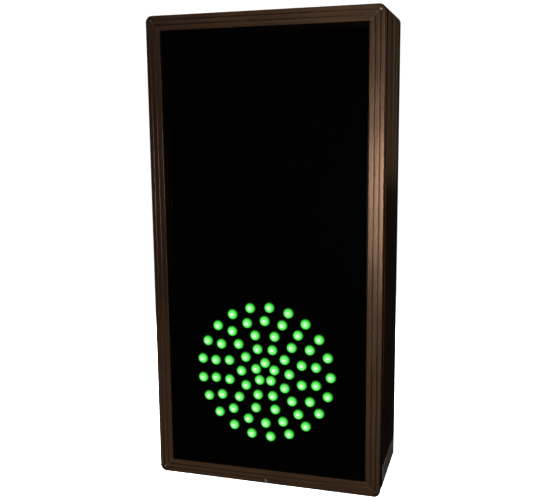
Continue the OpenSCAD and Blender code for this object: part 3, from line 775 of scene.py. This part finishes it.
BRONZE_UP = bronze("bronze_up", (1, 1, 0.02), mitred=True)
BRONZE_ACROSS = bronze("bronze_across", (0.02, 1, 1), mitred=True)
SIDE_UP = bronze("bronze_side_up", (1, 0.3, 0.006), bands=(0, 1, 0.012))
SIDE_ACROSS = bronze("bronze_side_across", (0.006, 0.3, 1), bands=(0.012, 1, 0))
BRONZE_FLAT = bronze("bronze_sheet", (1, 1, 1))
RUBBER = black_rubber()
STEEL = plated_steel()
LOCK = painted_lock()
PIN = pin_metal()
BLACK_PLASTIC = moulded("black_plastic", (0.010, 0.010, 0.010), (0.022, 0.022, 0.022))
TERMINAL = moulded("terminal_green", (0.016, 0.13, 0.035), (0.030, 0.19, 0.055), 0.42)
MASK = mask_black()
BOARD = circuit_board()
CASE = case_aluminium()

build_door_rails()
build_cabinet_rails()
build_leds("green_leds", led_lit())
build_leds("red_leds", led_dark())
build_corner_pins()
build_screws("tray_screws", "cabinet", 0.5, MASK)
build_screws("board_screws", "cabinet", 1.8, STEEL, flip=True)
build_screws("driver_screws", "cabinet", 2.4, STEEL)

dress(BRONZE_FLAT, "glazing_beads", "hinge_door_leaf", "hinge_cabinet_leaf", "back_panel")
dress(RUBBER, "glazing_gasket", "door_seal")
dress(smoked_panel(), "face_panel")
dress(STEEL, "hinge_door_rivets", "hinge_pin", "lock_clip", "lock_keeper", "flange_rivets", "corner_keys",
      "corner_key_screws", "back_panel_rivets", "board_standoffs", "terminal_screws")
dress(LOCK, "lock_stud")
dress(BLACK_PLASTIC, "wiring_bushing", "board_headers")
dress(label_film(), "label_plate")
dress(MASK, "led_tray")
dress(BOARD, "green_led_board", "red_led_board", "driver_board")
dress(CASE, "driver_case", "driver_lid")
dress(coil_tape(), "driver_transformer")
dress(capacitor_sleeve(), "driver_capacitors")
dress(ribbon_grey(), "driver_ribbons")
dress(TERMINAL, "terminal_header", "terminal_plug")
dress(brass(), "ground_stud", "ground_nuts")


# ---- Stage, lights and camera ---------------------------------------------------------------------

def build_floor():
    """A plain pale floor well below the hanging cabinet."""
    size, drop = 6.0, 0.30
    z = -HALF_H - drop
    corners = [(-size, -size, z), (size, -size, z), (size, size, z), (-size, size, z)]
    mesh = mesh_of("floor", corners, [[0, 1, 2, 3]])
    floor = bpy.data.objects.new("floor", mesh)
    bpy.context.scene.collection.objects.link(floor)
    s = Shader("floor", Roughness=0.9, Specular_IOR_Level=0.0)
    s.set("Base Color", s.mix(s.noise(4.0), rgba(0.80, 0.80, 0.80), rgba(0.84, 0.84, 0.84)))
    s.set("Emission Color", rgba(1, 1, 1))
    s.surface.inputs["Emission Strength"].default_value = 1.0
    mesh.materials.append(s.material)
    floor.visible_diffuse = False
    floor.visible_glossy = False


def area_light(name, place, target, width, height, power, colour=(1, 1, 1)):
    data = bpy.data.lights.new(name, "AREA")
    data.shape = "RECTANGLE"
    data.size, data.size_y = width, height
    data.energy = power
    data.color = colour
    lamp = bpy.data.objects.new(name, data)
    lamp.location = place
    lamp.rotation_euler = (Vector(target) - Vector(place)).to_track_quat("-Z", "Y").to_euler()
    lamp.visible_camera = False
    bpy.context.scene.collection.objects.link(lamp)


# Name, place, target, width, height, power and colour. The key shows in the right door rail, the low
# and high fills in the other door rails, and side_card in the right cabinet side. The rest light the
# sides that the main view does not show.
COOL = (0.97, 0.97, 1.0)
WARM = (1.0, 0.93, 0.82)
CENTRE = (0, 0, 0)
LIGHTS = [
    ("key", (0.10, -0.60, 0.012), (0.05, 0, 0.02), 0.07, 0.07, 1.3, COOL),
    ("low_fill", (-0.15, -0.62, -0.36), (0, -0.07, -0.1), 0.60, 0.28, 0.20, WARM),
    ("high_fill", (-0.10, -0.60, 0.33), (0, -0.07, 0.15), 0.45, 0.16, 0.15, WARM),
    ("side_card", (0.34, 1.16, 0.31), (0.09, 0, 0.1), 0.40, 0.70, 0.17, (1.0, 0.63, 0.34)),
    ("back_fill", (-0.85, 1.3, 0.35), CENTRE, 1.4, 1.4, 60.0),
    ("left_fill", (-1.3, 0.25, 0.25), CENTRE, 1.1, 1.1, 12.0),
    ("top_fill", (-0.6, 0.6, 1.3), (0, 0, 0.1), 1.1, 1.1, 18.0),
    ("right_fill", (1.3, -0.2, -0.1), CENTRE, 0.7, 0.7, 2.0, (1.0, 0.9, 0.8)),
]
UNSEEN_WORLD = 0.008
SEEN_WORLD = 1.05


def build_world():
    """White behind the object, and dim for everything that it lights."""
    world = bpy.data.worlds.new("studio")
    bpy.context.scene.world = world
    world.use_nodes = True
    tree = world.node_tree
    light_path = tree.nodes.new("ShaderNodeLightPath")
    strength = tree.nodes.new("ShaderNodeMapRange")
    strength.inputs["To Min"].default_value = UNSEEN_WORLD
    strength.inputs["To Max"].default_value = SEEN_WORLD
    tree.links.new(light_path.outputs["Is Camera Ray"], strength.inputs["Value"])
    background = tree.nodes["Background"]
    background.inputs["Color"].default_value = rgba(1, 1, 1)
    tree.links.new(strength.outputs["Result"], background.inputs["Strength"])


def build_camera():
    camera = bpy.data.cameras.new("camera")
    camera.lens = LENS
    camera.sensor_width = 36.0
    camera.clip_start = 0.01
    lens = bpy.data.objects.new("camera", camera)
    turn = (Matrix.Rotation(AZIMUTH, 4, "Z") @ Matrix.Rotation(math.pi / 2 - ELEVATION, 4, "X")
            @ Matrix.Rotation(ROLL, 4, "Z"))
    lens.matrix_world = Matrix.Translation(AIM + turn @ Vector((0, 0, DISTANCE))) @ turn
    bpy.context.scene.collection.objects.link(lens)
    bpy.context.scene.camera = lens


build_floor()
build_world()
build_camera()
for settings in LIGHTS:
    area_light(*settings)
bpy.context.scene.view_settings.view_transform = "Standard"
